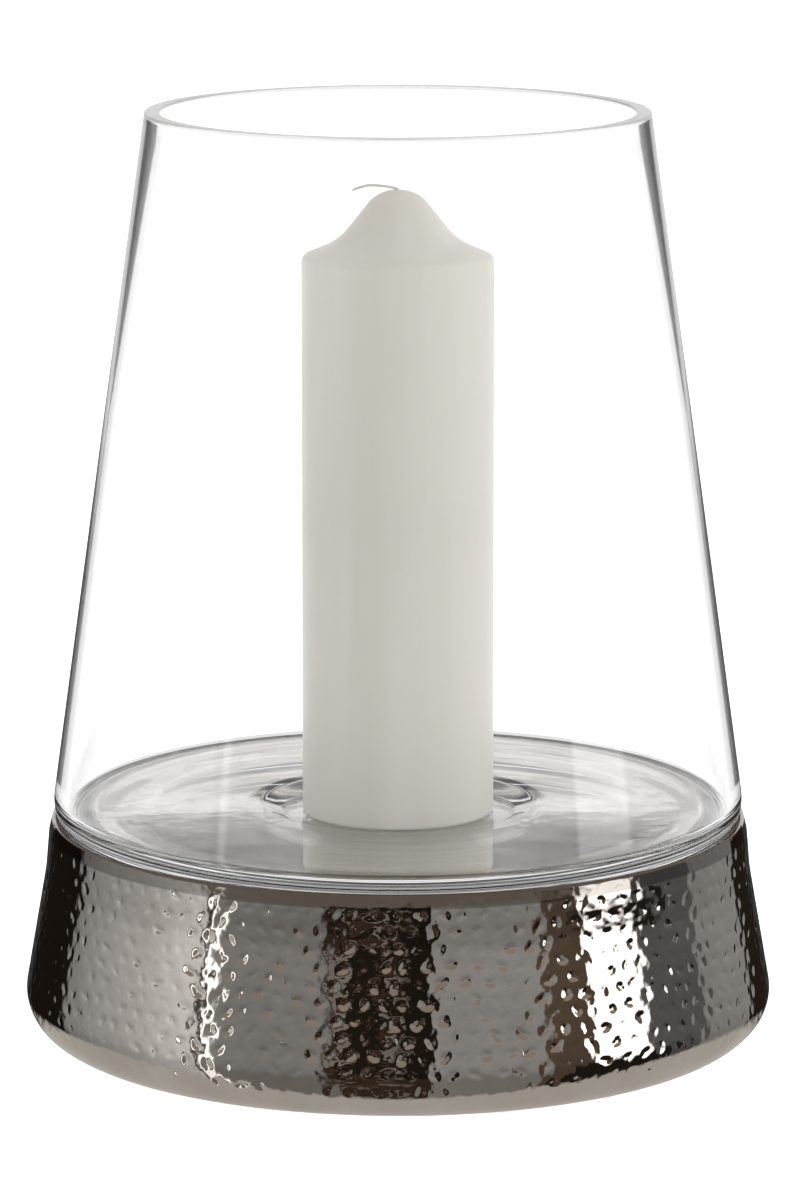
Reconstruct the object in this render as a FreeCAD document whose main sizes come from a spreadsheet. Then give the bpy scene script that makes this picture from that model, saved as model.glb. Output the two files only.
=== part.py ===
"""Pillar candle holder: a hammered ceramic base, a conical glass hurricane and a pillar candle.

Millimetres, +Z up. The origin is on the vertical axis of symmetry, in the plane that the felt pads stand on.
"""
import FreeCAD, Part
import math
import os
import Sketcher

# Driving dimensions: alias, value, meaning.
SIZES = [
    ("pad_thickness", 1.5, "felt pad, thickness"),
    ("pad_radius", 6.0, "felt pad, radius"),
    ("pad_ring_radius", 97.0, "circle that the pads' centres lie on"),
    ("ceramic_wall", 6.0, "thickness of the cast ceramic"),
    ("foot_opening_radius", 88.0, "opening in the underside of the base"),
    ("foot_corner_radius", 120.25, "where the flared side would meet the foot's plane"),
    ("foot_roll", 13.9, "rounding of the base's lower edge"),
    ("knee_radius", 111.0, "where the flare begins, below the lip"),
    ("knee_height", 54.0, "height of the same place"),
    ("knee_rounding", 60.0, "rounding there"),
    ("lip_radius", 110.0, "foot of the smooth lip, outside"),
    ("lip_height", 65.9, "height of the same place"),
    ("lip_rounding", 3.5, "rounding there"),
    ("crest_outer_radius", 108.9, "outer edge of the lip's crest"),
    ("crest_inner_radius", 107.7, "inner edge of the lip's crest"),
    ("crest_height", 70.5, "height of the lip's crest"),
    ("crest_outer_rounding", 1.0, "outer rounding of the crest"),
    ("crest_inner_rounding", 0.4, "inner rounding of the crest"),
    ("seat_height", 61.9, "plane that the glass stands on"),
    ("seat_corner_radius", 105.3, "where the recess wall would meet the seat's plane"),
    ("seat_rounding", 10.7, "rounding between the seat and the recess wall"),
    ("cavity_top_radius", 104.8, "upper corner of the hollow under the seat"),
    ("cavity_foot_radius", 113.0, "lower corner of the hollow"),
    ("cavity_rounding", 8.0, "rounding of both corners of the hollow"),
    ("foot_edge_rounding", 2.0, "rounding of the edge of the underside's opening"),
    ("rim_height", 292.2, "height of the glass rim"),
    ("rim_radius", 78.2, "outer radius of the glass rim"),
    ("glass_wall", 4.9, "thickness of the glass wall, measured level"),
    ("rim_arris", 0.6, "rounding of both edges of the ground rim"),
    ("heel_corner_radius", 110.4, "where the glass cone would meet the seat's plane"),
    ("heel_rounding", 14.5, "rounding of the heel outside"),
    ("punt_radius", 84.0, "edge of the shallow hollow under the glass floor"),
    ("punt_height", 1.2, "height of that hollow's middle above the seat"),
    ("punt_bend_radius", 42.0, "where its slope would meet its middle's plane"),
    ("punt_rounding", 2800.0, "radius of its dome"),
    ("floor_height", 74.0, "height of the glass floor inside"),
    ("floor_corner_radius", 103.9, "where the inner cone would meet the floor"),
    ("floor_rounding", 3.0, "rounding of the heel inside"),
    ("well_edge_radius", 43.0, "where the floor would meet the side of the candle's well"),
    ("well_edge_rounding", 5.0, "rounding of that edge"),
    ("well_radius", 36.5, "corner of the well's floor"),
    ("well_rounding", 3.0, "rounding of that corner"),
    ("well_height", 71.5, "height of the well's floor, that the candle stands on"),
    ("candle_radius", 30.0, "candle, radius"),
    ("candle_foot_rounding", 1.0, "rounding of the candle's lower edge"),
    ("shoulder_height", 247.1, "candle, where the side would meet the shoulder"),
    ("shoulder_rounding", 2.5, "rounding there"),
    ("flank_radius", 18.7, "candle, hollow of the bell, radius"),
    ("flank_height", 251.8, "height of the same place"),
    ("flank_rounding", 19.0, "rounding of that hollow"),
    ("dome_radius", 6.1, "candle, where the flank would meet the top's plane"),
    ("dome_rounding", 10.8, "rounding of the bell's dome"),
    ("apex_height", 267.6, "height of the bell's top"),
    ("tab_radius", 7.5, "wick sustainer, radius of the tab"),
    ("tab_thickness", 0.4, "thickness of the tab"),
    ("neck_radius", 1.5, "outer radius of the crimped neck"),
    ("neck_height", 5.5, "height of the neck above the tab's underside"),
    ("wick_radius", 0.5, "wick, radius"),
    ("wick_rise", 1.1, "height of the wick's bend above the candle's top"),
    ("wick_bend", 1.4, "radius of the bend where the wick turns over"),
    ("wick_arch_reach", 7.4, "from the axis to the middle of the wick's free end"),
    ("wick_arch_rise", 1.5, "height of the wick there, above the candle's top"),
    ("wick_droop", 18.0, "radius of the wick's drooping stretch"),
    ("wick_reach", 13.6, "from the axis to the wick's tip"),
    ("wick_tip_rise", 0.2, "height of the tip above the candle's top"),
]
PAD_COUNT = 4
SHARP = None          # marks a corner with no rounding
UP = FreeCAD.Vector(0, 0, 1)

size = {alias: value for alias, value, meaning in SIZES}
doc = FreeCAD.newDocument("pillar_candle_holder")
sheet = doc.addObject("Spreadsheet::Sheet", "Sizes")
for row, (alias, value, meaning) in enumerate(SIZES, start=1):
    sheet.set("A%d" % row, meaning)
    sheet.set("B%d" % row, str(value))
    sheet.setAlias("B%d" % row, alias)
doc.recompute()


def amount(words):
    """Value of a sum of sizes, such as "seat_height - ceramic_wall"."""
    total = 0.0
    sign = 1.0
    for word in words.split():
        if word == "+":
            sign = 1.0
        elif word == "-":
            sign = -1.0
        else:
            total += sign * (size[word] if word in size else float(word))
    return total


def bound(words):
    """The same sum as an expression that reads the sheet."""
    return " ".join("Sizes." + word if word in size else word for word in words.split())


def new_body(name):
    body = doc.addObject("PartDesign::Body", name)
    body.Label = name
    return body


def new_sketch(body, name, role):
    """Sketch on one of the body's own origin planes, found by its role."""
    sketch = body.newObject("Sketcher::SketchObject", name)
    plane = next(item for item in body.Origin.OriginFeatures if item.Role == role)
    sketch.AttachmentSupport = (plane, [""])
    sketch.MapMode = "FlatFace"
    return sketch


def place(sketch, geometry, across, along):
    """Hold a point at (across, along); each is a sum of sizes, and "0" is an axis of the sketch."""
    for kind, axis, words in (("DistanceX", -2, across), ("DistanceY", -1, along)):
        if words == "0":
            sketch.addConstraint(Sketcher.Constraint("PointOnObject", geometry, 1, axis))
            continue
        index = sketch.addConstraint(Sketcher.Constraint(kind, -1, 1, geometry, 1, amount(words)))
        sketch.setExpression("Constraints[%d]" % index, bound(words))


def add_outline(sketch, corners, closed=True):
    """Straight runs through the corners, each corner rounded by an arc tangent to both of its runs.

    A corner is (across, along, rounding). Every place and rounding is bound to the sheet.
    """
    count = len(corners)
    spots = [FreeCAD.Vector(amount(across), amount(along), 0) for across, along, rounding in corners]
    marks = []
    cuts = []
    for index, (across, along, rounding) in enumerate(corners):
        mark = sketch.addGeometry(Part.Point(spots[index]), True)
        place(sketch, mark, across, along)
        marks.append(mark)
        cuts.append((spots[index], spots[index]))
        if rounding is SHARP:
            continue
        back = (spots[index - 1] - spots[index]).normalize()
        ahead = (spots[(index + 1) % count] - spots[index]).normalize()
        setback = size[rounding] / math.tan(back.getAngle(ahead) / 2)
        cuts[index] = (spots[index] + back * setback, spots[index] + ahead * setback)

    runs = []
    for index in range(count if closed else count - 1):
        after = (index + 1) % count
        run = sketch.addGeometry(Part.LineSegment(cuts[index][1], cuts[after][0]))
        runs.append(run)
        for end, corner in ((1, index), (2, after)):
            if corners[corner][2] is SHARP:
                sketch.addConstraint(Sketcher.Constraint("Coincident", run, end, marks[corner], 1))
            else:
                sketch.addConstraint(Sketcher.Constraint("PointOnObject", marks[corner], 1, run))

    for index, (across, along, rounding) in enumerate(corners):
        if rounding is SHARP:
            continue
        start, finish = cuts[index]
        inward = ((start + finish) / 2 - spots[index]).normalize()
        half_angle = inward.getAngle(start - spots[index])
        centre = spots[index] + inward * (size[rounding] / math.sin(half_angle))
        turns_left = ((start - centre).cross(finish - centre)).z > 0
        first, last = (start, finish) if turns_left else (finish, start)
        angles = [math.atan2((spot - centre).y, (spot - centre).x) for spot in (first, last)]
        circle = Part.Circle(centre, UP, size[rounding])
        arc = sketch.addGeometry(Part.ArcOfCircle(circle, angles[0], angles[1]))
        run_in, run_out = runs[index - 1], runs[index]
        end_in, end_out = (1, 2) if turns_left else (2, 1)
        sketch.addConstraint(Sketcher.Constraint("Tangent", run_in, 2, arc, end_in))
        sketch.addConstraint(Sketcher.Constraint("Tangent", run_out, 1, arc, end_out))
        radius = sketch.addConstraint(Sketcher.Constraint("Radius", arc, size[rounding]))
        sketch.setExpression("Constraints[%d]" % radius, bound(rounding))


def turned_body(name, corners):
    """Solid of revolution about the vertical axis; corners are (radius, height, rounding)."""
    body = new_body(name)
    sketch = new_sketch(body, name + "_section", "XZ_Plane")
    add_outline(sketch, corners)
    revolution = body.newObject("PartDesign::Revolution", name + "_turned")
    revolution.Profile = sketch
    revolution.ReferenceAxis = (sketch, ["V_Axis"])
    revolution.Angle = 360.0
    sketch.Visibility = False
    return body


def make_base():
    """Cast ceramic shell: flared side, thin lip round a flat seat for the glass, hollow and open below."""
    flange_top = "pad_thickness + ceramic_wall"
    cavity_top = "seat_height - ceramic_wall"
    return turned_body("hammered_base", [
        ("foot_opening_radius", "pad_thickness", "foot_edge_rounding"),
        ("foot_corner_radius", "pad_thickness", "foot_roll"),
        ("knee_radius", "knee_height", "knee_rounding"),
        ("lip_radius", "lip_height", "lip_rounding"),
        ("crest_outer_radius", "crest_height", "crest_outer_rounding"),
        ("crest_inner_radius", "crest_height", "crest_inner_rounding"),
        ("seat_corner_radius", "seat_height", "seat_rounding"),
        ("0", "seat_height", SHARP),
        ("0", cavity_top, SHARP),
        ("cavity_top_radius", cavity_top, "cavity_rounding"),
        ("cavity_foot_radius", flange_top, "cavity_rounding"),
        ("foot_opening_radius", flange_top, "foot_edge_rounding"),
    ])


def make_glass():
    """Conical glass with a ground rim, a rounded heel, and a thick floor with a shallow candle well."""
    inner_rim = "rim_radius - glass_wall"
    return turned_body("glass_hurricane", [
        ("0", "seat_height + punt_height", SHARP),
        ("punt_bend_radius", "seat_height + punt_height", "punt_rounding"),
        ("punt_radius", "seat_height", SHARP),
        ("heel_corner_radius", "seat_height", "heel_rounding"),
        ("rim_radius", "rim_height", "rim_arris"),
        (inner_rim, "rim_height", "rim_arris"),
        ("floor_corner_radius", "floor_height", "floor_rounding"),
        ("well_edge_radius", "floor_height", "well_edge_rounding"),
        ("well_radius", "well_height", "well_rounding"),
        ("0", "well_height", SHARP),
    ])


def make_candle():
    """Wax pillar with a bell top, cast round the wick and the sustainer."""
    return turned_body("pillar_candle", [
        ("tab_radius", "well_height", SHARP),
        ("candle_radius", "well_height", "candle_foot_rounding"),
        ("candle_radius", "shoulder_height", "shoulder_rounding"),
        ("flank_radius", "flank_height", "flank_rounding"),
        ("dome_radius", "apex_height", "dome_rounding"),
        ("wick_radius", "apex_height", SHARP),
        ("wick_radius", "well_height + neck_height", SHARP),
        ("neck_radius", "well_height + neck_height", SHARP),
        ("neck_radius", "well_height + tab_thickness", SHARP),
        ("tab_radius", "well_height + tab_thickness", SHARP),
    ])


def make_sustainer():
    """Steel tab with a neck that is crimped round the wick's lower end."""
    return turned_body("wick_sustainer", [
        ("wick_radius", "well_height", SHARP),
        ("tab_radius", "well_height", SHARP),
        ("tab_radius", "well_height + tab_thickness", SHARP),
        ("neck_radius", "well_height + tab_thickness", SHARP),
        ("neck_radius", "well_height + neck_height", SHARP),
        ("wick_radius", "well_height + neck_height", SHARP),
    ])


def make_wick():
    """Round wick: up the candle's axis, then over towards -X, level at first and drooping to its tip."""
    body = new_body("wick")
    path = new_sketch(body, "wick_path", "XZ_Plane")
    # The path is drawn on its side of the axis where across is positive, and the body is turned about Z.
    add_outline(path, [
        ("0", "well_height + tab_thickness", SHARP),
        ("0", "apex_height + wick_rise", "wick_bend"),
        ("wick_arch_reach", "apex_height + wick_arch_rise", "wick_droop"),
        ("wick_reach", "apex_height + wick_tip_rise", SHARP),
    ], closed=False)
    section = new_sketch(body, "wick_section", "XY_Plane")
    section.setExpression("AttachmentOffset.Base.z", bound("well_height + tab_thickness"))
    circle = section.addGeometry(Part.Circle(FreeCAD.Vector(0, 0, 0), UP, size["wick_radius"]))
    section.addConstraint(Sketcher.Constraint("Coincident", circle, 3, -1, 1))
    radius = section.addConstraint(Sketcher.Constraint("Radius", circle, size["wick_radius"]))
    section.setExpression("Constraints[%d]" % radius, bound("wick_radius"))
    doc.recompute()
    pipe = body.newObject("PartDesign::AdditivePipe", "wick_swept")
    pipe.Profile = section
    pipe.Spine = path
    body.Placement = FreeCAD.Placement(FreeCAD.Vector(0, 0, 0), FreeCAD.Rotation(UP, 180))
    return body


def make_pads():
    """Felt discs under the foot's flat ring, spread evenly round it."""
    pads = []
    for number in range(PAD_COUNT):
        name = "felt_pad_%d" % (number + 1)
        body = new_body(name)
        sketch = new_sketch(body, name + "_disc", "XY_Plane")
        circle = sketch.addGeometry(Part.Circle(FreeCAD.Vector(0, 0, 0), UP, size["pad_radius"]))
        sketch.addConstraint(Sketcher.Constraint("Coincident", circle, 3, -1, 1))
        radius = sketch.addConstraint(Sketcher.Constraint("Radius", circle, size["pad_radius"]))
        sketch.setExpression("Constraints[%d]" % radius, bound("pad_radius"))
        pad = body.newObject("PartDesign::Pad", name + "_thickness")
        pad.Profile = sketch
        pad.setExpression("Length", bound("pad_thickness"))
        turn = 360 / PAD_COUNT * (number + 0.5)
        body.setExpression("Placement.Base.x", "Sizes.pad_ring_radius * cos(%g deg)" % turn)
        body.setExpression("Placement.Base.y", "Sizes.pad_ring_radius * sin(%g deg)" % turn)
        pads.append(body)
    return pads


def check_document():
    for item in doc.Objects:
        if "Invalid" in item.State or "Error" in item.State:
            raise RuntimeError("%s did not recompute: %s" % (item.Label, item.State))


def write_parts(bodies):
    for body in bodies:
        if body.Shape.isNull() or not body.Shape.isValid():
            raise RuntimeError(body.Label + " has no valid shape")
    os.makedirs("parts", exist_ok=True)
    for body in bodies:
        body.Shape.exportStep("parts/%s.step" % body.Label)
        box = body.Shape.BoundBox
        print("%-16s %10.1f mm3, z %.2f to %.2f" % (body.Label, body.Shape.Volume, box.ZMin, box.ZMax))


parts = [make_base(), make_glass(), make_candle(), make_wick(), make_sustainer()] + make_pads()
doc.recompute()
check_document()
write_parts(parts)
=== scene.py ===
"""Pillar candle holder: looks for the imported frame. Metres, +Z up, -Y towards the viewer."""
import math
import bpy
import numpy as np
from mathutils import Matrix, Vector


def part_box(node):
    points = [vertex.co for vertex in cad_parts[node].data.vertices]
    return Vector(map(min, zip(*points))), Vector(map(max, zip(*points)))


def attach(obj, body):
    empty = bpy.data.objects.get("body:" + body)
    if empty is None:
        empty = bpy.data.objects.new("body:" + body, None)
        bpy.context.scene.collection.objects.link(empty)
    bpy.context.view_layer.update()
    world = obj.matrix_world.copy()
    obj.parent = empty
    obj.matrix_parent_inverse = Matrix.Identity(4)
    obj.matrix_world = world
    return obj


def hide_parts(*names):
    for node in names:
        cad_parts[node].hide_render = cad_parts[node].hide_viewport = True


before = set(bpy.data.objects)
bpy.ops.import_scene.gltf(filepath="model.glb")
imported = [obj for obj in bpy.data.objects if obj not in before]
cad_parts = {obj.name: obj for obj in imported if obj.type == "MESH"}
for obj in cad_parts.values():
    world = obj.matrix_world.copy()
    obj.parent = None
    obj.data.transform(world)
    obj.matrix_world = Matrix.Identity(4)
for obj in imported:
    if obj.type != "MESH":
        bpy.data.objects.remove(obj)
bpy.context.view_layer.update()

MM = 0.001
rng = np.random.default_rng(7)

BASE_LOW, BASE_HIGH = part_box("hammered_base")
GLASS_LOW, GLASS_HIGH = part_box("glass_hurricane")
CANDLE_LOW, CANDLE_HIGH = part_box("pillar_candle")
WICK_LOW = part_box("wick")[0]

FOOT = BASE_LOW.z            # underside of the ceramic
CREST = BASE_HIGH.z          # top of the ceramic lip
SEAT = GLASS_LOW.z           # plane that the glass stands on
RIM = GLASS_HIGH.z           # top of the glass
WELL = CANDLE_LOW.z          # floor of the candle's well
APEX = CANDLE_HIGH.z         # top of the wax
DISH_RADIUS = 104.5 * MM     # smooth seat inside the lip
HEEL_RADIUS = 110.4 * MM     # outside of the glass's wall, carried down to the seat
RIM_RADIUS = 78.2 * MM       # and carried up to the rim
GLASS_WALL = 4.9 * MM        # thickness at the rim
FLOOR_TOP = SEAT + 12.1 * MM  # top of the glass's floor


# ---------------------------------------------------------------- outlines and turned meshes

def rounded(corners, step):
    """Points along straight runs through the corners, each rounded by an arc tangent to both runs.

    A corner is (radius, height, rounding); step is the longest chord on an arc, in radians of turn.
    """
    spots = [np.array(corner[:2], dtype=float) for corner in corners]
    points = [spots[0]]
    for before, spot, after, corner in zip(spots, spots[1:], spots[2:], corners[1:]):
        back = (before - spot) / np.linalg.norm(before - spot)
        ahead = (after - spot) / np.linalg.norm(after - spot)
        opening = math.acos(float(np.clip(back @ ahead, -1.0, 1.0)))
        if corner[2] == 0.0:
            points.append(spot)
            continue
        setback = corner[2] / math.tan(opening / 2)
        inward = (back + ahead) / np.linalg.norm(back + ahead)
        centre = spot + inward * corner[2] / math.sin(opening / 2)
        start = spot + back * setback - centre
        finish = spot + ahead * setback - centre
        first = math.atan2(start[1], start[0])
        turn = (math.atan2(finish[1], finish[0]) - first + math.pi) % (2 * math.pi) - math.pi
        count = max(3, int(abs(turn) / step))
        for angle in first + np.linspace(0.0, turn, count + 1):
            points.append(centre + corner[2] * np.array([math.cos(angle), math.sin(angle)]))
    points.append(spots[-1])
    return np.array(points)


def spread(points, longest):
    """The same line with points added so that no piece is longer than longest."""
    line = [points[0]]
    for a, b in zip(points[:-1], points[1:]):
        count = max(1, math.ceil(np.linalg.norm(b - a) / longest))
        for k in range(1, count + 1):
            line.append(a + (b - a) * k / count)
    return np.array(line)


def mesh_object(name, points, faces, material):
    """Smooth-shaded object of one mesh."""
    mesh = bpy.data.meshes.new(name)
    mesh.from_pydata([tuple(map(float, point)) for point in points], [], faces)
    mesh.validate()
    mesh.polygons.foreach_set("use_smooth", np.ones(len(mesh.polygons), dtype=bool))
    mesh.update()
    mesh.materials.append(material)
    piece = bpy.data.objects.new(name, mesh)
    bpy.context.scene.collection.objects.link(piece)
    return piece


def lathe(name, outline, segments, material, relief=None):
    """Closed turned mesh. The outline runs from the axis round to the axis, or is a closed loop off it.

    relief(angles, outline) gives how far each point moves along its normal, as rows by segments.
    """
    angles = np.arange(segments) * (2 * math.pi / segments)
    on_axis = outline[0][0] < 1e-9
    ring = outline[1:-1] if on_axis else outline
    rows = len(ring)
    radius = np.repeat(ring[:, :1], segments, axis=1)
    height = np.repeat(ring[:, 1:], segments, axis=1)
    if relief is not None:
        ahead = np.roll(ring, -1, axis=0)
        behind = np.roll(ring, 1, axis=0)
        if on_axis:
            ahead[-1], behind[0] = outline[-1], outline[0]
        along = ahead - behind
        along /= np.linalg.norm(along, axis=1)[:, None]
        shift = relief(angles, ring)
        radius = radius + shift * along[:, 1:]
        height = height - shift * along[:, :1]
    points = np.stack([radius * np.cos(angles), radius * np.sin(angles), height], axis=2).reshape(-1, 3)
    row = np.arange(rows if not on_axis else rows - 1)[:, None]
    column = np.arange(segments)[None, :]
    after_row = (row + 1) % rows
    after_column = (column + 1) % segments
    quads = np.stack([row * segments + column, row * segments + after_column,
                      after_row * segments + after_column, after_row * segments + column], axis=2)
    faces = quads.reshape(-1, 4).tolist()
    if on_axis:
        first, last = len(points), len(points) + 1
        points = np.vstack([points, [0.0, 0.0, outline[0][1]], [0.0, 0.0, outline[-1][1]]])
        top = (rows - 1) * segments
        for k in range(segments):
            after = (k + 1) % segments
            faces.append((first, after, k))
            faces.append((last, top + k, top + after))
    return mesh_object(name, points, faces, material)


# ---------------------------------------------------------------- materials

class NodeTree:
    """Short ways to add nodes to a tree. Each gives the socket that holds the result."""

    def __init__(self, tree):
        self.tree = tree

    def fill(self, socket, value):
        """Links a socket's value to another socket, or sets a plain value."""
        if isinstance(value, bpy.types.NodeSocket):
            self.tree.links.new(value, socket)
        else:
            socket.default_value = value

    def node(self, kind, **inputs):
        made = self.tree.nodes.new(kind)
        for name, value in inputs.items():
            self.fill(made.inputs[name.replace("_", " ")], value)
        return made

    def ramp(self, source, stops):
        """Colours over source; stops are (position, colour)."""
        made = self.node("ShaderNodeValToRGB", Fac=source)
        elements = made.color_ramp.elements
        while len(elements) < len(stops):
            elements.new(0.5)
        for element, (position, colour) in zip(elements, stops):
            element.position = position
            element.color = (*colour, 1.0)
        return made.outputs["Color"]

    def span(self, source, low, high, from_low=0.0, from_high=1.0):
        """source stretched to run from low to high while it goes from from_low to from_high."""
        return self.node("ShaderNodeMapRange", Value=source, From_Min=from_low, From_Max=from_high,
                         To_Min=low, To_Max=high).outputs["Result"]

    def math(self, operation, *values):
        made = self.tree.nodes.new("ShaderNodeMath")
        made.operation = operation
        for socket, value in zip(made.inputs, values):
            self.fill(socket, value)
        return made.outputs["Value"]

    def vector_math(self, operation, *values, scale=None):
        made = self.tree.nodes.new("ShaderNodeVectorMath")
        made.operation = operation
        for socket, value in zip(made.inputs, values):
            self.fill(socket, value)
        if scale is not None:
            self.fill(made.inputs["Scale"], scale)
        return made.outputs["Vector"]

    def axes(self, vector):
        """The outputs X, Y and Z of a vector."""
        return self.node("ShaderNodeSeparateXYZ", Vector=vector).outputs

    def xyz(self, x, y, z):
        return self.node("ShaderNodeCombineXYZ", X=x, Y=y, Z=z).outputs["Vector"]

    def blend(self, factor, first, second):
        """The colour first where factor is 0, second where it is 1."""
        mix = self.tree.nodes.new("ShaderNodeMix")
        mix.data_type = "RGBA"
        for name, value in (("Factor", factor), ("A", first), ("B", second)):
            self.fill(next(item for item in mix.inputs if item.name == name and item.enabled), value)
        return next(item for item in mix.outputs if item.enabled)


class Shader(NodeTree):
    """A material's node tree, with its Principled BSDF as surface."""

    def __init__(self, name):
        self.material = bpy.data.materials.new(name)
        self.material.use_nodes = True
        super().__init__(self.material.node_tree)
        self.surface = self.tree.nodes["Principled BSDF"]
        self.place = self.node("ShaderNodeTexCoord").outputs["Object"]

    def set(self, **inputs):
        for name, value in inputs.items():
            self.fill(self.surface.inputs[name.replace("_", " ")], value)

    def noise(self, scale, detail=2.0, roughness=0.5, stretch=(1.0, 1.0, 1.0), place=None):
        """Noise of scale features a metre, as a socket from 0 to 1."""
        mapping = self.node("ShaderNodeMapping", Vector=place or self.place, Scale=stretch)
        made = self.node("ShaderNodeTexNoise", Vector=mapping.outputs["Vector"],
                         Scale=scale, Detail=detail, Roughness=roughness)
        return made.outputs["Fac"]

    def bump(self, *heights):
        """Bumps one over another; each is (socket, height in metres)."""
        normal = None
        for source, height in heights:
            made = self.node("ShaderNodeBump", Strength=1.0, Distance=height, Height=source)
            if normal is not None:
                self.fill(made.inputs["Normal"], normal)
            normal = made.outputs["Normal"]
        self.set(Normal=normal)


def radius_of(shader, axes):
    """Distance from the Z axis."""
    squares = [shader.math("MULTIPLY", axes[name], axes[name]) for name in ("X", "Y")]
    return shader.math("SQRT", shader.math("ADD", *squares))


def lustre_glaze():
    """Fired metal lustre over a glossy glaze: a warm dark-silver mirror, faintly clouded.

    The seat inside the lip keeps the streaks of its turning; the lip has painted shade, its colour darkened
    in place of the dark reflection it shows.
    """
    shader = Shader("lustre_glaze")
    clouds = shader.ramp(shader.noise(38.0, 4.0, 0.6), [
        (0.30, (0.485, 0.447, 0.41)), (0.55, (0.545, 0.507, 0.468)), (0.75, (0.595, 0.56, 0.52))])
    axes = shader.axes(shader.place)
    radius = radius_of(shader, axes)
    # Painted shade: the lip's colour drops to under half, in place of the darker reflection it shows.
    painted_lip_shade = shader.span(axes["Z"], 1.0, 0.46, CREST - 4.7 * MM, CREST - 4.0 * MM)
    dish = shader.span(radius, 1.0, 0.0, DISH_RADIUS - 3.5 * MM, DISH_RADIUS)

    # Noise laid out by radius and angle runs in rings; a low weight on the angle draws it out along them.
    angle = shader.math("MULTIPLY", shader.math("ARCTAN2", axes["X"], axes["Y"]), 0.006)
    turned = shader.xyz(radius, angle, 0.0)
    strokes = shader.noise(420.0, 3.0, 0.6, place=turned)
    sweeps = shader.noise(75.0, 1.0, place=turned)
    streaks = shader.math("MULTIPLY", shader.span(strokes, 0.42, 0.0, 0.40, 0.60), dish)
    tone = shader.math("MULTIPLY", painted_lip_shade, shader.math("SUBTRACT", 1.06, streaks))

    shader.set(Base_Color=shader.vector_math("SCALE", clouds, scale=tone), Metallic=1.0,
               Roughness=shader.span(shader.noise(160.0, 3.0), 0.01, 0.04))
    shader.bump((shader.noise(150.0), 0.20 * MM), (shader.noise(2400.0), 0.0015 * MM),
                (shader.math("MULTIPLY", strokes, dish), 0.08 * MM),
                (shader.math("MULTIPLY", sweeps, dish), 0.24 * MM))
    return shader.material


def clear_glass():
    """Clear soda glass: polished, with painted shade where it is seen edge on, and faint waves from the
    mould.

    edge is how far a place is seen edge on, and the ramp turns it into painted shade: the glass's colour
    darkened where the real glass looks dark at its edges. Only the outside of the wall darkens by angle, more
    towards its top;
    the heel, the well's wall and the ground rim have painted shade values of their own.
    """
    shader = Shader("clear_glass")
    axes = shader.axes(shader.place)
    height = axes["Z"]
    radius = radius_of(shader, axes)
    lean = (HEEL_RADIUS - RIM_RADIUS) / (RIM - SEAT)
    unleaned = shader.math("MULTIPLY_ADD", height, lean, radius)      # one value all the way up the wall
    outside = shader.span(unleaned, 0.0, 1.0, 107.5 * MM + lean * SEAT, 108.5 * MM + lean * SEAT)
    above_heel = shader.span(height, 0.0, 1.0, SEAT + 13.0 * MM, SEAT + 22.0 * MM)
    below_rim = shader.span(height, 1.0, 0.0, RIM - 1.5 * MM, RIM - 0.7 * MM)

    # Painted shade levels of their own for the ground rim, the heel and the well's wall.
    rim_shade, heel_shade, well_shade = 0.60, 0.821, 0.79
    facing = shader.node("ShaderNodeLayerWeight", Blend=0.5).outputs["Facing"]
    # Painted shade: the wall also counts as more edge on towards its top, so it darkens there.
    facing = shader.math("ADD", facing, shader.span(height, 0.0, 0.16, 0.200, 0.285))
    edge = shader.math("MULTIPLY", shader.math("MULTIPLY", facing, above_heel), outside)
    edge = shader.math("MULTIPLY_ADD", edge, below_rim, shader.span(below_rim, rim_shade, 0.0))
    heel = shader.span(height, heel_shade, 0.0, SEAT + 11.5 * MM, SEAT + 13.0 * MM)
    edge = shader.math("MAXIMUM", edge, shader.math("MULTIPLY", heel, outside))
    well_wall = shader.math("COMPARE", radius, 39.6 * MM, 3.4 * MM)
    well_wall = shader.math("MULTIPLY", well_wall, shader.math("LESS_THAN", height, FLOOR_TOP + 0.4 * MM))
    edge = shader.math("MAXIMUM", edge, shader.math("MULTIPLY", well_wall, well_shade))
    # Painted shade: clear where the glass is seen face on, down to nearly black at its edges.
    painted_shade = shader.ramp(edge, [
        (0.0, (1.0, 1.0, 1.0)), (0.30, (1.0, 1.0, 1.0)), (0.55, (0.92, 0.923, 0.923)),
        (0.62, (0.86, 0.865, 0.865)), (0.74, (0.82, 0.825, 0.828)), (0.765, (0.62, 0.624, 0.63)),
        (0.81, (0.55, 0.554, 0.56)), (0.828, (0.08, 0.081, 0.083)), (0.90, (0.018, 0.0182, 0.0186)),
        (1.0, (0.014, 0.0142, 0.0145))])

    # The rim is ground, not polished, so it scatters light.
    shader.set(Base_Color=painted_shade, IOR=1.5,
               Transmission_Weight=shader.span(below_rim, 0.40, 1.0),
               Roughness=shader.span(below_rim, 0.30, 0.0))
    shader.bump((shader.noise(26.0, 1.0, 0.4, (1.0, 1.0, 0.35)), 0.06 * MM))
    return shader.material


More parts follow.
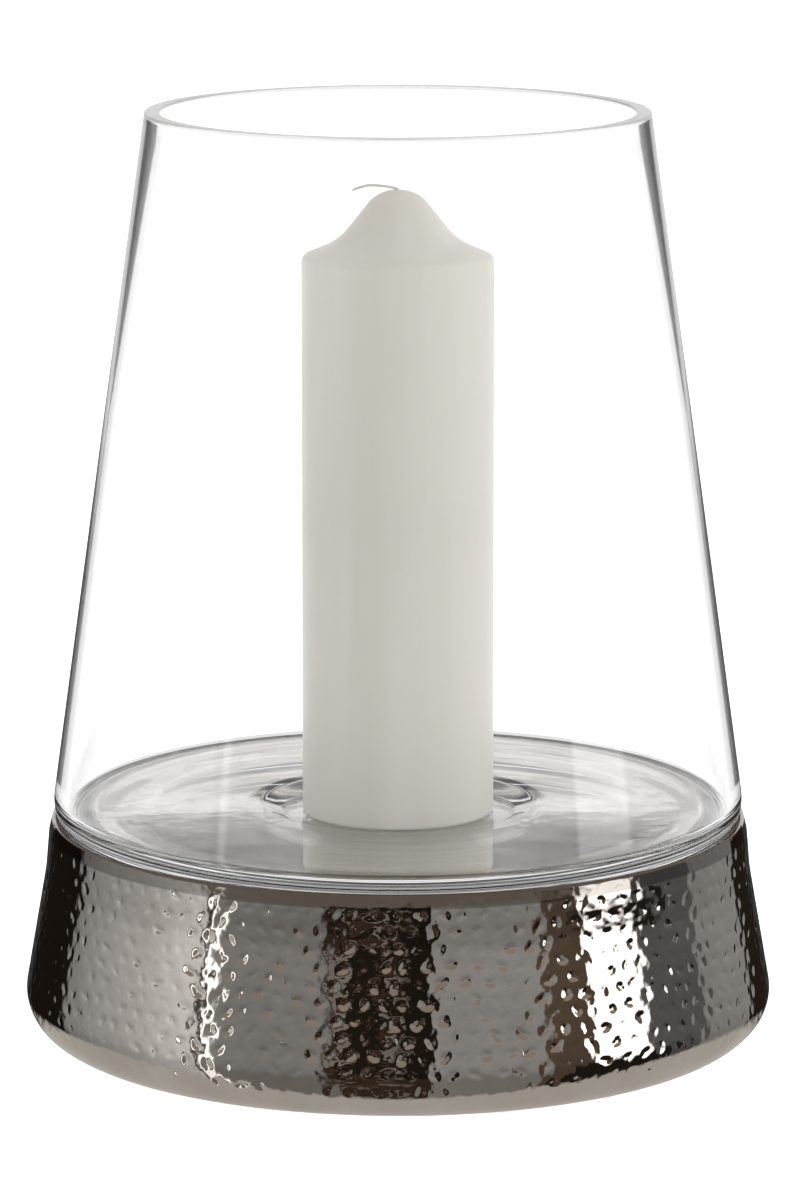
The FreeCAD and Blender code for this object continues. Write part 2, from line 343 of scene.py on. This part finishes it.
def ivory_wax():
    """Ivory wax: light goes into it, a satin surface with cast mottling, and a painted glow near its foot for
    the light from the shiny seat.
    """
    shader = Shader("ivory_wax")
    tone = shader.ramp(shader.noise(60.0, 3.0, 0.55, (1.0, 1.0, 0.05)), [
        (0.30, (0.765, 0.735, 0.66)), (0.70, (0.82, 0.80, 0.73))])
    # Painted light: the wax glows faintly towards its foot, in place of light thrown up from the shiny seat.
    painted_seat_glow = shader.span(shader.axes(shader.place)["Z"], 0.13, 0.0, WELL, WELL + 95.0 * MM)
    shader.set(Base_Color=tone, Roughness=shader.span(shader.noise(70.0, 3.0), 0.30, 0.44), IOR=1.44,
               Emission_Color=(1.0, 0.98, 0.91, 1.0), Emission_Strength=painted_seat_glow,
               Subsurface_Weight=0.35, Subsurface_Radius=(1.0, 0.75, 0.5), Subsurface_Scale=6.0 * MM)
    shader.bump((shader.noise(55.0), 0.05 * MM), (shader.noise(900.0, 3.0), 0.008 * MM))
    return shader.material


def cotton():
    """Bleached cotton yarn, stiff with wax."""
    shader = Shader("cotton")
    tone = shader.ramp(shader.noise(1400.0), [(0.3, (0.70, 0.67, 0.60)), (0.7, (0.86, 0.84, 0.78))])
    shader.set(Base_Color=tone, Roughness=0.75, Sheen_Weight=0.3, Sheen_Roughness=0.5)
    shader.bump((shader.noise(5200.0, 2.0, 0.6), 0.03 * MM))
    return shader.material


def tinned_steel():
    """Thin tinned sheet, brushed along Y."""
    shader = Shader("tinned_steel")
    brushed = (1.0, 0.05, 1.0)
    tone = shader.ramp(shader.noise(500.0, 3.0), [(0.3, (0.55, 0.55, 0.54)), (0.7, (0.68, 0.68, 0.67))])
    shader.set(Base_Color=tone, Metallic=1.0,
               Roughness=shader.span(shader.noise(900.0, 2.0, 0.5, brushed), 0.22, 0.42))
    shader.bump((shader.noise(1500.0, 2.0, 0.5, brushed), 0.01 * MM))
    return shader.material


def felt():
    """Pressed dark felt."""
    shader = Shader("felt")
    tone = shader.ramp(shader.noise(1300.0, 4.0, 0.7), [
        (0.35, (0.035, 0.032, 0.03)), (0.7, (0.095, 0.09, 0.085))])
    shader.set(Base_Color=tone, Roughness=0.95, Sheen_Weight=0.4, Sheen_Roughness=0.6)
    shader.bump((shader.noise(2600.0, 4.0, 0.7, (1.0, 1.0, 3.0)), 0.12 * MM))
    return shader.material


# ---------------------------------------------------------------- hammered base

HAMMER_TOP = CREST - 4.3 * MM        # the lip above is smooth
HAMMER_BOTTOM = FOOT + 8.6 * MM      # and so is the roll below
DENT_ROWS = 11
DENTS_ROUND = 106
SIDE = 4                             # mesh edges along each side of a dent's own patch of wall
DENT_WIDTH = (2.1 * MM, 2.8 * MM)    # half widths
DENT_HEIGHT = (2.1 * MM, 2.5 * MM)   # half heights
DENT_DEPTH = (0.06 * MM, 0.30 * MM)
DENT_RINGS = (1.0, 0.66, 0.34)       # mesh rings inside a dent, as parts of its half width
SHELL = 6.0 * MM                     # thickness of the casting
HOLLOW_RADIUS = 88.0 * MM            # opening underneath
SEGMENTS = DENTS_ROUND * SIDE


def base_outlines():
    """Half sections of the shell: from the axis below to the hammered wall, the wall, and on over the lip."""
    foot = (104.0 * MM, FOOT, 0.0)
    lip_edge = (109.14 * MM, CREST - 1.0 * MM, 0.0)
    outside = rounded([
        foot,
        (120.25 * MM, FOOT, 13.9 * MM),
        (111.0 * MM, CREST - 16.5 * MM, 60.0 * MM),
        (110.0 * MM, CREST - 4.6 * MM, 3.5 * MM),
        lip_edge], 0.05)
    outside = spread(outside, 1.4 * MM)
    below = rounded([
        (0.0, SEAT - SHELL, 0.0),
        (104.8 * MM, SEAT - SHELL, 8.0 * MM),
        (113.0 * MM, FOOT + SHELL, 8.0 * MM),
        (HOLLOW_RADIUS, FOOT + SHELL, 2.0 * MM),
        (HOLLOW_RADIUS, FOOT, 2.0 * MM),
        foot], 0.5)
    lip = rounded([
        lip_edge,
        (108.9 * MM, CREST, 0.7 * MM),
        (107.7 * MM, CREST, 0.4 * MM),
        (105.3 * MM, SEAT, 10.7 * MM),
        (0.0, SEAT, 0.0)], 0.3)
    level = outside[:, 1]
    is_low = level < HAMMER_BOTTOM - 0.3 * MM
    is_high = level > HAMMER_TOP + 0.3 * MM
    low, high = outside[is_low], outside[is_high]
    middle = np.vstack([low[-1], outside[~is_low & ~is_high], high[0]])
    return np.vstack([below[:-1], low]), middle, np.vstack([high, lip[1:]])


def unevenness(angle, height):
    """The cast wall's slow swell, along its normal."""
    swell = 0.0
    for waves, size, phase, rise in ((5, 0.05, 0.4, 31.0), (9, 0.03, 2.1, 52.0), (17, 0.018, 4.4, 24.0)):
        swell += size * MM * np.sin(waves * angle + phase + rise * height)
    return swell


def drift(angle, part):
    """How far the marks wander from their even rows: (angle, part of the wall's height), none at its ends."""
    fade = np.sin(math.pi * np.clip(part, 0.0, 1.0)) ** 0.7
    sideways = 0.010 * np.sin(7 * angle + 5.0 * part) + 0.008 * np.sin(19 * angle - 9.0 * part + 1.3)
    upwards = 0.012 * np.sin(11 * angle + 7.0 * part + 0.6) + 0.009 * np.sin(23 * angle + 2.2)
    return fade * sideways, fade * upwards


class BaseMesh:
    """The base's points and faces: rings below and above the wall, and one patch for each hammer mark."""

    def __init__(self, wall):
        self.points, self.faces = [], []
        self.wall = wall
        self.arc = np.concatenate([[0.0], np.cumsum(np.linalg.norm(np.diff(wall, axis=0), axis=1))])
        self.tangent = np.gradient(wall, self.arc, axis=0)
        self.middle_radius = wall[len(wall) // 2, 0]

    def wall_point(self, angle, part, depth=0.0):
        """Adds a point of the wall: part is 0 at its foot and 1 at its top; depth goes inwards."""
        sideways, upwards = drift(angle, part)
        angle, along = angle + sideways, (part + upwards) * self.arc[-1]
        radius, height = (np.interp(along, self.arc, self.wall[:, k]) for k in (0, 1))
        across, up = (np.interp(along, self.arc, self.tangent[:, k]) for k in (0, 1))
        shift = unevenness(angle, height) - depth
        radius, height = radius + shift * up, height - shift * across
        self.points.append((radius * math.cos(angle), radius * math.sin(angle), height))
        return len(self.points) - 1

    def ring(self, radius, height):
        """Adds a ring of points round the axis."""
        turns = np.arange(SEGMENTS) * (2 * math.pi / SEGMENTS)
        fade = np.interp(radius, [60.0 * MM, 100.0 * MM], [0.0, 1.0])
        shifted = radius + fade * unevenness(turns, height)
        first = len(self.points)
        self.points.extend(zip(shifted * np.cos(turns), shifted * np.sin(turns), np.full(SEGMENTS, height)))
        return [first + k for k in range(SEGMENTS)]

    def join(self, lower, upper):
        """Faces between two closed loops of as many points, the first below the second on the outside."""
        for k in range(len(lower)):
            after = (k + 1) % len(lower)
            self.faces.append((lower[k], lower[after], upper[after], upper[k]))

    def cap(self, pole, loop, upward):
        """A fan of faces from a point on the axis to a ring."""
        self.points.append((0.0, 0.0, pole))
        for k in range(SEGMENTS):
            ends = (loop[k], loop[(k + 1) % SEGMENTS])
            self.faces.append((len(self.points) - 1, *(ends if upward else reversed(ends))))

    def dent(self, edge, angle, part):
        """One hammer mark, in rings inside the patch that edge goes round, and its middle."""
        width = rng.uniform(*DENT_WIDTH)
        height = rng.uniform(*DENT_HEIGHT)
        deep = rng.uniform(*DENT_DEPTH)
        lean = rng.uniform(-0.35, 0.35)
        first_swing, second_swing = rng.uniform(0.0, 2 * math.pi, 2)
        outer = edge
        for size in DENT_RINGS:
            depth = deep * (1.0 - size ** 2) ** 3
            loop = []
            for k in range(4 * SIDE):
                turn = math.radians(-135.0) + k * 2 * math.pi / (4 * SIDE)
                swing = 0.20 * math.sin(2 * turn + first_swing) + 0.14 * math.sin(3 * turn + second_swing)
                reach = size * (1.0 + swing if size < 1.0 else 1.0)
                across = reach * (width * math.cos(turn) + lean * height * math.sin(turn))
                up = reach * height * math.sin(turn)
                sideways, upwards = across / self.middle_radius, up / self.arc[-1]
                loop.append(self.wall_point(angle + sideways, part + upwards, depth))
            self.join(outer, loop)
            outer = loop
        middle = self.wall_point(angle, part, deep)
        for k in range(4 * SIDE):
            self.faces.append((outer[k], outer[(k + 1) % (4 * SIDE)], middle))

    def row_of_dents(self, row, lower, upper):
        """The marks between two rings of the wall; every other row is set off by half a patch."""
        step = 2 * math.pi / SEGMENTS
        offset = SIDE // 2 * (row % 2)
        sides = []
        for number in range(DENTS_ROUND):
            angle = (number * SIDE + offset) * step
            sides.append([self.wall_point(angle, (row + k / SIDE) / DENT_ROWS) for k in range(1, SIDE)])
        for number in range(DENTS_ROUND):
            spots = [(number * SIDE + offset + k) % SEGMENTS for k in range(SIDE + 1)]
            edge = [lower[k] for k in spots] + sides[(number + 1) % DENTS_ROUND]
            edge += [upper[k] for k in reversed(spots)] + sides[number][::-1]
            angle = (number * SIDE + offset + SIDE / 2 + rng.uniform(-0.45, 0.45)) * step
            part = (row + 0.5 + rng.uniform(-0.05, 0.05)) / DENT_ROWS
            self.dent(edge, angle, part)


def make_base(material):
    """Slip-cast shell with a hammered wall."""
    below, wall, above = base_outlines()
    base = BaseMesh(wall)
    lower_rings = [base.ring(*spot) for spot in below[1:]]
    upper_rings = [base.ring(*spot) for spot in above[:-1]]
    for rings in (lower_rings, upper_rings):
        for first, second in zip(rings, rings[1:]):
            base.join(first, second)
    base.cap(below[0][1], lower_rings[0], upward=False)
    base.cap(above[-1][1], upper_rings[-1], upward=True)

    lines = [lower_rings[-1]]
    for line in range(1, DENT_ROWS):
        lines.append([base.wall_point(k * 2 * math.pi / SEGMENTS, line / DENT_ROWS) for k in range(SEGMENTS)])
    lines.append(upper_rings[0])
    for row in range(DENT_ROWS):
        base.row_of_dents(row, lines[row], lines[row + 1])
    piece = mesh_object("hammered_base_glazed", base.points, base.faces, material)
    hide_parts("hammered_base")
    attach(piece, "base")


# ---------------------------------------------------------------- glass, candle, wick

def make_glass(material):
    """Conical glass: ground rim, rounded heel and a thick floor with a shallow well for the candle."""
    outline = spread(rounded([
        (0.0, SEAT + 1.2 * MM, 0.0),
        (42.0 * MM, SEAT + 1.2 * MM, 600.0 * MM),
        (84.0 * MM, SEAT + 0.02 * MM, 0.0),
        (HEEL_RADIUS, SEAT + 0.02 * MM, 14.5 * MM),
        (RIM_RADIUS, RIM, 0.6 * MM),
        (RIM_RADIUS - GLASS_WALL, RIM, 0.6 * MM),
        (103.9 * MM, FLOOR_TOP, 3.0 * MM),
        (43.0 * MM, FLOOR_TOP, 5.0 * MM),
        (36.5 * MM, WELL, 3.0 * MM),
        (0.0, WELL, 0.0)], 0.12), 5.0 * MM)
    piece = lathe("glass_hurricane_blown", outline, 288, material)
    piece.visible_shadow = False      # clear glass lets the soft light through to the candle and the dish
    piece.visible_diffuse = False
    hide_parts("glass_hurricane")
    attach(piece, "glass")


def make_candle(material):
    """Wax pillar with a bell top, cast round the wick and the steel tab in its foot."""
    tab_top = WELL + 0.4 * MM
    neck_top = WELL + 5.5 * MM
    outline = rounded([
        (7.5 * MM, tab_top, 0.0),
        (7.5 * MM, WELL, 0.0),
        (30.0 * MM, WELL, 1.0 * MM),
        (30.0 * MM, APEX - 20.5 * MM, 2.5 * MM),
        (18.7 * MM, APEX - 15.8 * MM, 19.0 * MM),
        (6.1 * MM, APEX, 10.8 * MM),
        (0.5 * MM, APEX, 0.0),
        (0.5 * MM, neck_top, 0.0),
        (1.5 * MM, neck_top, 0.0),
        (1.5 * MM, tab_top, 0.0)], 0.09)
    piece = lathe("pillar_candle_wax", spread(outline, 4.0 * MM), 160, material)
    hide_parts("pillar_candle")
    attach(piece, "candle")


def wick_line(count):
    """Points along the wick: up the axis, then bent over towards -X and drooping to its tip."""
    curve = bpy.data.curves.new("wick_line", "CURVE")
    curve.dimensions = "3D"
    route = [(0.0, WICK_LOW.z), (0.0, APEX - 60.0 * MM), (0.0, APEX - 2.0 * MM), (0.0, APEX + 0.3 * MM),
             (-1.6 * MM, APEX + 0.75 * MM), (-5.0 * MM, APEX + 1.3 * MM), (-9.0 * MM, APEX + 1.5 * MM),
             (-11.5 * MM, APEX + 0.9 * MM), (-13.6 * MM, APEX + 0.1 * MM)]
    spline = curve.splines.new("NURBS")
    spline.points.add(len(route) - 1)
    for point, (x, z) in zip(spline.points, route):
        point.co = (x, 0.0, z, 1.0)
    spline.order_u = 3
    spline.use_endpoint_u = True
    spline.resolution_u = 40
    holder = bpy.data.objects.new("wick_line", curve)
    mesh = bpy.data.meshes.new_from_object(holder)
    points = np.array([vertex.co for vertex in mesh.vertices])
    bpy.data.meshes.remove(mesh)
    bpy.data.objects.remove(holder)
    bpy.data.curves.remove(curve)
    length = np.concatenate([[0.0], np.cumsum(np.linalg.norm(np.diff(points, axis=0), axis=1))])
    along = np.linspace(0.0, length[-1], count)
    return along, np.stack([np.interp(along, length, points[:, k]) for k in range(3)], axis=1)


def tubes(name, paths, sides, material):
    """One mesh of closed tubes; each path is (points, radii)."""
    vertices, faces = [], []
    for points, radii in paths:
        ahead = np.gradient(points, axis=0)
        ahead /= np.linalg.norm(ahead, axis=1)[:, None]
        side = np.cross(ahead, [0.0, 1.0, 0.0])
        side /= np.linalg.norm(side, axis=1)[:, None]
        other = np.cross(side, ahead)
        first = len(vertices)
        for point, radius, u, v in zip(points, radii, side, other):
            for k in range(sides):
                turn = 2 * math.pi * k / sides
                vertices.append(point + radius * (u * math.cos(turn) + v * math.sin(turn)))
        for i in range(len(points) - 1):
            for k in range(sides):
                after = (k + 1) % sides
                faces.append((first + i * sides + k, first + i * sides + after,
                              first + (i + 1) * sides + after, first + (i + 1) * sides + k))
        last = first + (len(points) - 1) * sides
        faces.append(tuple(first + k for k in reversed(range(sides))))
        faces.append(tuple(last + k for k in range(sides)))
    return mesh_object(name, vertices, faces, material)


def make_wick(material):
    """Three-strand braid along the wick's line, with a few loose fibres at its cut tip."""
    along, middle = wick_line(1300)
    ahead = np.gradient(middle, axis=0)
    ahead /= np.linalg.norm(ahead, axis=1)[:, None]
    side = np.tile([0.0, 1.0, 0.0], (len(middle), 1))
    other = np.cross(ahead, side)
    braid_pitch = 2.6 * MM
    swing, weave, strand = 0.26 * MM, 0.15 * MM, 0.24 * MM
    paths = []
    for number in range(3):
        phase = 2 * math.pi * (along / braid_pitch + number / 3)
        offset = other * (swing * np.sin(phase))[:, None]
        offset += side * (weave * np.sin(2 * phase))[:, None]
        paths.append((middle + offset, np.full(len(middle), strand)))
    tip, heading = middle[-1], ahead[-1]
    for number in range(9):
        lean = np.array([0.0, rng.uniform(-0.55, 0.55), rng.uniform(-0.45, 0.45)])
        reach = rng.uniform(0.5, 1.3) * MM
        start = tip - heading * 0.6 * MM + lean * 0.3 * MM
        bend = np.linspace(0.0, 1.0, 7)[:, None]
        fibre = start + (heading * (reach + 0.6 * MM)) * bend + lean * reach * bend ** 2
        paths.append((fibre, np.linspace(0.075, 0.03, 7) * MM))
    piece = tubes("wick_braid", paths, 8, material)
    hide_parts("wick")
    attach(piece, "candle")


def make_pads(material):
    """Pressed felt discs with a soft uneven edge."""
    for number in range(1, 5):
        node = "felt_pad_%d" % number
        low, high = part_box(node)
        radius = (high.x - low.x) / 2
        outline = spread(rounded([
            (0.0, low.z, 0.0),
            (radius, low.z, 0.25 * MM),
            (radius, high.z, 0.25 * MM),
            (0.0, high.z, 0.0)], 0.4), 0.6 * MM)

        def fuzz(angles, ring):
            rim = np.interp(ring[:, 0], [0.8 * radius, radius], [0.0, 1.0])[:, None]
            return rim * rng.uniform(-0.09, 0.02, (len(ring), len(angles))) * MM

        piece = lathe(node + "_felt", outline, 72, material, fuzz)
        piece.location = ((low.x + high.x) / 2, (low.y + high.y) / 2, 0.0)
        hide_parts(node)
        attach(piece, "base")


# ---------------------------------------------------------------- floor, studio and camera

def make_floor():
    """Wide pale floor, bright as a lit sweep; it keeps a faint shadow close to the foot."""
    rings = [0.3, 0.8, 2.0, 4.5, 9.0]
    segments = 96
    vertices = [(0.0, 0.0, 0.0)]
    for ring in rings:
        for k in range(segments):
            turn = 2 * math.pi * k / segments
            vertices.append((ring * math.cos(turn), ring * math.sin(turn), 0.0))
    faces = [(0, 1 + k, 1 + (k + 1) % segments) for k in range(segments)]
    for i in range(len(rings) - 1):
        inner, outer = 1 + i * segments, 1 + (i + 1) * segments
        for k in range(segments):
            after = (k + 1) % segments
            faces.append((inner + k, outer + k, outer + after, inner + after))
    mesh = bpy.data.meshes.new("floor")
    mesh.from_pydata(vertices, [], faces)
    floor = bpy.data.objects.new("floor", mesh)
    bpy.context.scene.collection.objects.link(floor)
    shader = Shader("floor")
    path = shader.node("ShaderNodeLightPath").outputs
    shader.set(Base_Color=(0.86, 0.86, 0.855, 1.0), Roughness=0.8, Specular_IOR_Level=0.1,
               Emission_Color=(1.0, 1.0, 1.0, 1.0),
               Emission_Strength=shader.span(path["Is Diffuse Ray"], 0.80, 0.10))
    mesh.materials.append(shader.material)
    floor.visible_glossy = False      # mirrors see the studio's screens down to the foot instead


# What a mirror on the floor sees round it: (azimuth, brightness), azimuth from the viewer towards +X.
# Each line is a soft box, a pale screen or a dark gap, with a narrow soft edge to the next.
STUDIO = [
    (-180.0, 0.75), (-169.0, 0.75),
    (-167.0, 0.012), (-125.0, 0.012),
    (-122.0, 0.36), (-105.0, 0.52), (-86.0, 0.62), (-70.0, 0.82), (-65.0, 0.92),
    (-64.0, 0.03), (-62.0, 0.03),
    (-61.0, 2.4), (-58.5, 2.4),
    (-57.5, 0.30), (-24.0, 0.27),
    (-21.0, 0.014), (10.0, 0.012),
    (11.0, 0.36), (46.0, 0.34),
    (47.5, 0.085), (61.0, 0.08),
    (62.0, 3.0), (81.0, 3.0),
    (83.5, 0.13), (107.0, 0.14),
    (109.0, 0.36), (138.0, 0.42),
    (140.0, 0.02), (167.0, 0.02),
    (169.0, 0.75), (180.0, 0.75)]
STUDIO_PEAK = 3.0


def grey(level):
    return (level, level, level)


def studio_bands(tree, turn):
    """The screens of STUDIO by azimuth; the dark gaps between them are a little warm."""
    stops = []
    for azimuth, bright in STUDIO:
        level = bright / STUDIO_PEAK
        warmth = 1.0 if bright > 0.1 else 1.35
        stops.append((0.5 + azimuth / 360.0, (level * warmth, level, level / warmth)))
    position = tree.math("ADD", tree.math("DIVIDE", turn, 2 * math.pi), 0.5)
    return tree.vector_math("SCALE", tree.ramp(position, stops), scale=STUDIO_PEAK)


def add_clutter(tree, turn, height, colour):
    """Stands and cloths in the left half of the dark gap that faces the viewer."""
    where = tree.math("MULTIPLY", tree.span(turn, 0.0, 1.0, math.radians(-21.5), math.radians(-20.5)),
                      tree.span(turn, 1.0, 0.0, math.radians(-2.0), math.radians(6.0)))
    spread_out = tree.xyz(turn, tree.math("MULTIPLY", height, 2.2), 0.0)
    dark_stands = (5.5, 0.52, 3.0, (0.06, 0.034, 0.024))
    pale_cloths = (4.6, 0.55, 9.0, (0.24, 0.22, 0.20))
    for scale, low, offset, cloth in (dark_stands, pale_cloths):
        place = tree.vector_math("ADD", spread_out, (offset, offset, 0.0))
        noise = tree.node("ShaderNodeTexNoise", Vector=place, Scale=scale, Detail=2.0).outputs["Fac"]
        patches = tree.span(noise, 0.0, 1.0, low, low + 0.02)
        colour = tree.blend(tree.math("MULTIPLY", where, patches), colour, (*cloth, 1.0))
    return colour


def mirrored_studio(tree, axes):
    """What mirrors see: the screens, what stands in their gaps, the ceiling, the back and the floor."""
    turn = tree.math("ARCTAN2", axes["X"], tree.math("MULTIPLY", axes["Y"], -1.0))
    facing = tree.math("COSINE", turn)                   # 1 towards the viewer, -1 away
    colour = add_clutter(tree, turn, axes["Z"], studio_bands(tree, turn))

    # Low in front, stray warm light fills the dark gap.
    low_in_front = tree.math("MULTIPLY", tree.span(axes["Z"], 0.0, 1.0, -0.10, -0.18),
                             tree.span(facing, 0.0, 1.0, 0.35, 0.70))
    stray = tree.vector_math("MULTIPLY_ADD", colour, grey(0.9), (0.045, 0.028, 0.018))
    colour = tree.blend(low_in_front, colour, stray)

    # The right-hand soft box ends above the floor.
    below_box = tree.math("MULTIPLY", tree.span(axes["Z"], 0.0, 1.0, -0.07, -0.13),
                          tree.math("COMPARE", turn, math.radians(74.0), math.radians(19.0)))
    colour = tree.blend(below_box, colour, (0.025, 0.02, 0.016, 1.0))

    # The screens are brighter towards their tops, and a warm ceiling begins above them.
    colour = tree.vector_math("SCALE", colour, scale=tree.span(axes["Z"], 0.72, 1.18, -0.22, 0.15))
    colour = tree.blend(tree.span(axes["Z"], 0.0, 1.0, 0.14, 0.20), colour, (0.37, 0.31, 0.265, 1.0))

    # Straight behind the object, the sweep is white above and in shade below.
    shade = tree.span(axes["Z"], 0.05, 1.0, -0.150, -0.120)
    colour = tree.blend(tree.span(axes["Y"], 0.0, 1.0, 0.905, 0.93), colour, tree.xyz(shade, shade, shade))

    # The floor, lower in front than behind.
    floor_line = tree.span(facing, 0.30, 0.84, -0.2, 1.0)
    on_floor = tree.span(tree.math("ADD", axes["Z"], floor_line), 0.0, 1.0, 0.0, -0.08)
    return tree.blend(on_floor, colour, (0.56, 0.54, 0.505, 1.0))


def make_studio():
    """World light: banded for mirrors, soft for the rest, white where the camera looks past the floor."""
    world = bpy.data.worlds.new("studio")
    bpy.context.scene.world = world
    world.use_nodes = True
    world.cycles.sampling_method = "NONE"
    world.node_tree.nodes.clear()
    tree = NodeTree(world.node_tree)
    axes = tree.axes(tree.node("ShaderNodeTexCoord").outputs["Generated"])
    path = tree.node("ShaderNodeLightPath").outputs

    # Rough surfaces are lit softly, more from the right and the back.
    level = tree.math("MULTIPLY_ADD", axes["X"], 0.26, 0.81)
    level = tree.math("MULTIPLY_ADD", axes["Y"], 0.32, level)
    soft = tree.xyz(level, level, level)
    # Rays that have been inside the wax meet a stronger light than plain diffuse ones.
    strength = tree.math("MULTIPLY_ADD", path["Is Diffuse Ray"], -1.2, 2.2)
    onto_wax = tree.vector_math("SCALE", soft, scale=strength)
    # Past the glass: white round the walls, dim above the dish's near half.
    through = tree.ramp(tree.math("MULTIPLY_ADD", axes["Z"], 0.5, 0.5), [
        (0.500, grey(1.25)), (0.6130, grey(1.30)), (0.6160, grey(0.11)),
        (0.665, grey(0.15)), (0.700, grey(1.10))])

    seen = tree.blend(path["Is Glossy Ray"], soft, mirrored_studio(tree, axes))
    seen = tree.blend(tree.math("GREATER_THAN", path["Diffuse Depth"], 0.5), seen, onto_wax)
    seen = tree.blend(path["Is Transmission Ray"], seen, through)
    seen = tree.blend(path["Is Camera Ray"], seen, (1.0, 1.0, 1.0, 1.0))
    background = tree.node("ShaderNodeBackground", Color=seen, Strength=1.0)
    tree.node("ShaderNodeOutputWorld", Surface=background.outputs["Background"])


def make_camera():
    """A long lens a little above the lip's height, tilted down at the middle of the glass."""
    camera = bpy.data.cameras.new("camera")
    camera.lens = 171.2
    camera.sensor_width = 36.0
    camera.shift_x = 0.0017
    camera.clip_start = 0.05
    camera.clip_end = 60.0
    holder = bpy.data.objects.new("camera", camera)
    holder.location = (0.0, -1.7547, CREST + 0.4105)
    holder.rotation_euler = (math.radians(90.0 - 11.045), 0.0, 0.0)
    bpy.context.scene.collection.objects.link(holder)
    bpy.context.scene.camera = holder


make_base(lustre_glaze())
make_glass(clear_glass())
make_candle(ivory_wax())
make_wick(cotton())
make_pads(felt())
steel = tinned_steel()
for material_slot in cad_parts["wick_sustainer"].material_slots:
    material_slot.material = steel
make_floor()
make_studio()
make_camera()
bpy.context.scene.view_settings.view_transform = "Standard"
bpy.context.scene.cycles.max_bounces = 32
bpy.context.scene.cycles.transmission_bounces = 32
bpy.context.scene.cycles.glossy_bounces = 12

bpy.context.view_layer.update()
